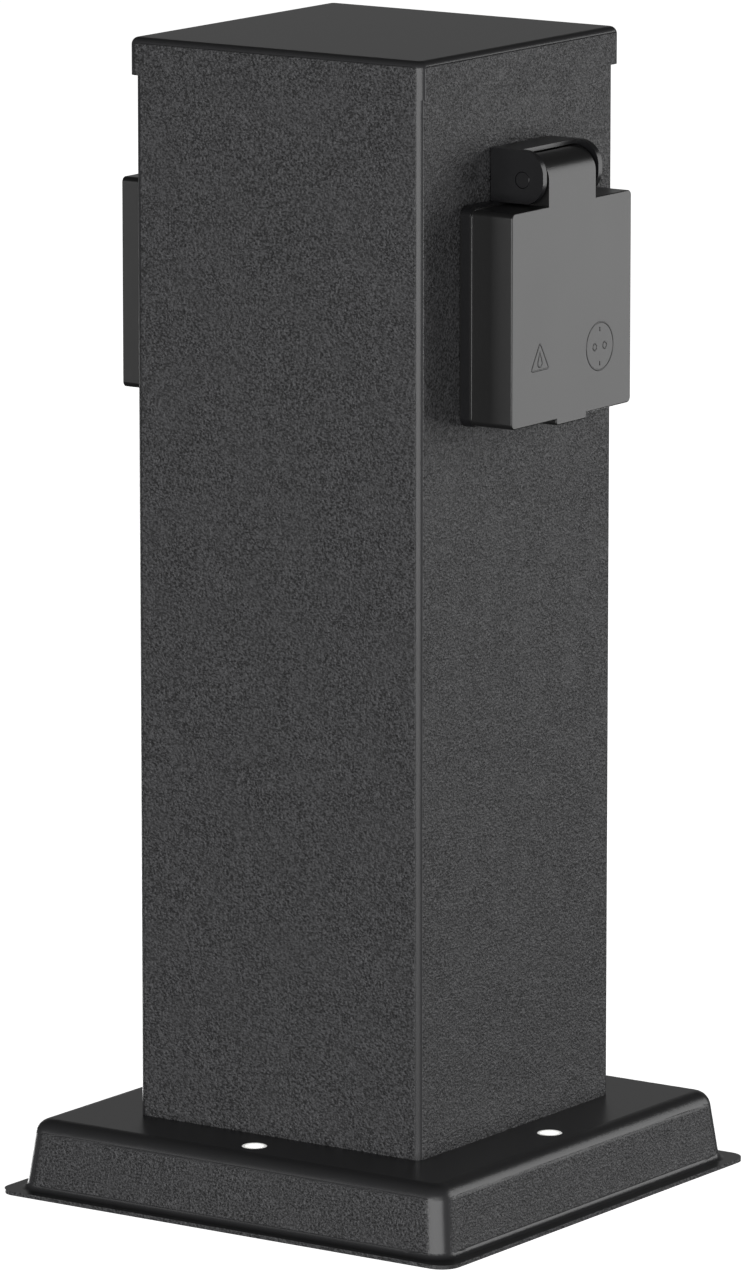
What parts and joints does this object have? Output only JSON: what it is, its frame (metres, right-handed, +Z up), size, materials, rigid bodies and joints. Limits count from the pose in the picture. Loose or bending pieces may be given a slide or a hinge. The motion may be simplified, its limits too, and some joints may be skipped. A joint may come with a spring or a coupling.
{
  "type": "garden power post",
  "caption": "Square steel post on a hollow drawn foot, with a spring-lidded mains outlet on each of two opposite faces.",
  "frame": {"origin": "on the ground under the middle of the foot", "axes": "+Z up along the column; the outlets face +X and -X; the plain faces are -Y and +Y"},
  "size_m": [0.1606, 0.1606, 0.3418],
  "materials": {
    "powder_coat": "fine-textured anthracite powder coat",
    "lid_plastic": "satin dark grey moulded plastic",
    "black_plastic": "satin black moulded plastic",
    "well_plastic": "satin near-black moulded thermoset",
    "shutter_plastic": "matt grey moulded plastic",
    "block_plastic": "matt off-white moulded plastic",
    "light_nylon": "natural nylon",
    "rubber": "matt black rubber",
    "zinc_steel": "bright zinc plate",
    "stainless": "plain stainless",
    "spring_steel": "oiled spring wire and strip",
    "nickel": "nickel plate",
    "brass": "machined brass",
    "wire_brown": "brown cable insulation",
    "wire_blue": "blue cable insulation",
    "wire_green_yellow": "green and yellow cable insulation"
  },
  "bodies": {
    "root": {"anchor_sleeves": "light_nylon", "base_plate": "powder_coat", "block_screws": "zinc_steel", "cable_grommet": "rubber", "cap_clips": "spring_steel", "clamp_screws": "zinc_steel", "cord_clamp_bar": "black_plastic", "cord_clamp_nuts": "zinc_steel", "cord_clamp_screws": "zinc_steel", "corner_angles": "zinc_steel", "earth_bolt": "zinc_steel", "earth_washer": "zinc_steel", "earth_wires": "wire_green_yellow", "foot_nuts": "zinc_steel", "foot_screws": "zinc_steel", "foot_washers": "zinc_steel", "left_contact_carrier": "well_plastic", "left_contact_sleeves": "brass", "left_earth_clip": "nickel", "left_flange_gasket": "rubber", "left_frame_nuts": "zinc_steel", "left_frame_screws": "stainless", "left_hinge_pin": "black_plastic", "left_insert_screws": "zinc_steel", "left_lid_spring": "spring_steel", "left_plug_well": "well_plastic", "left_rear_cover": "black_plastic", "left_shutter_spring": "spring_steel", "left_socket_frame": "black_plastic", "left_terminal_screws": "zinc_steel", "live_wires": "wire_brown", "neutral_wires": "wire_blue", "post_tube": "powder_coat", "right_contact_carrier": "well_plastic", "right_contact_sleeves": "brass", "right_earth_clip": "nickel", "right_flange_gasket": "rubber", "right_frame_nuts": "zinc_steel", "right_frame_screws": "stainless", "right_hinge_pin": "black_plastic", "right_insert_screws": "zinc_steel", "right_lid_spring": "spring_steel", "right_plug_well": "well_plastic", "right_rear_cover": "black_plastic", "right_shutter_spring": "spring_steel", "right_socket_frame": "black_plastic", "right_terminal_screws": "zinc_steel", "stand_nuts": "zinc_steel", "stand_screws": "zinc_steel", "terminal_block": "block_plastic", "terminal_clamps": "brass", "terminal_stand": "zinc_steel", "top_cap": "powder_coat"},
    "left_lid": {"left_lid": "lid_plastic", "left_lid_seal": "rubber"},
    "left_shutter": {"left_shutter": "shutter_plastic"},
    "right_lid": {"right_lid": "lid_plastic", "right_lid_seal": "rubber"},
    "right_shutter": {"right_shutter": "shutter_plastic"}
  },
  "joints": [
    {"name": "right_lid_hinge", "type": "hinge", "parent": "root", "child": "right_lid", "pos_m": [0.0616, 0, 0.3049], "axis": [0, -1, 0], "range_deg": [0, 95], "stiffness_Nm_per_rad": 0.006, "springref_deg": -57.3, "deforming": ["right_lid_spring"]},
    {"name": "right_shutter_turn", "type": "hinge", "parent": "root", "child": "right_shutter", "pos_m": [0.0412, 0, 0.26625], "axis": [1, 0, 0], "range_deg": [0, 45], "stiffness_Nm_per_rad": 0.0001, "springref_deg": -17.19, "deforming": ["right_shutter_spring"]},
    {"name": "left_lid_hinge", "type": "hinge", "parent": "root", "child": "left_lid", "pos_m": [-0.0616, 0, 0.3049], "axis": [0, 1, 0], "range_deg": [0, 95], "stiffness_Nm_per_rad": 0.006, "springref_deg": -57.3, "deforming": ["left_lid_spring"]},
    {"name": "left_shutter_turn", "type": "hinge", "parent": "root", "child": "left_shutter", "pos_m": [-0.0412, 0, 0.26625], "axis": [-1, 0, 0], "range_deg": [0, 45], "stiffness_Nm_per_rad": 0.0001, "springref_deg": -17.19, "deforming": ["left_shutter_spring"]}
  ]
}
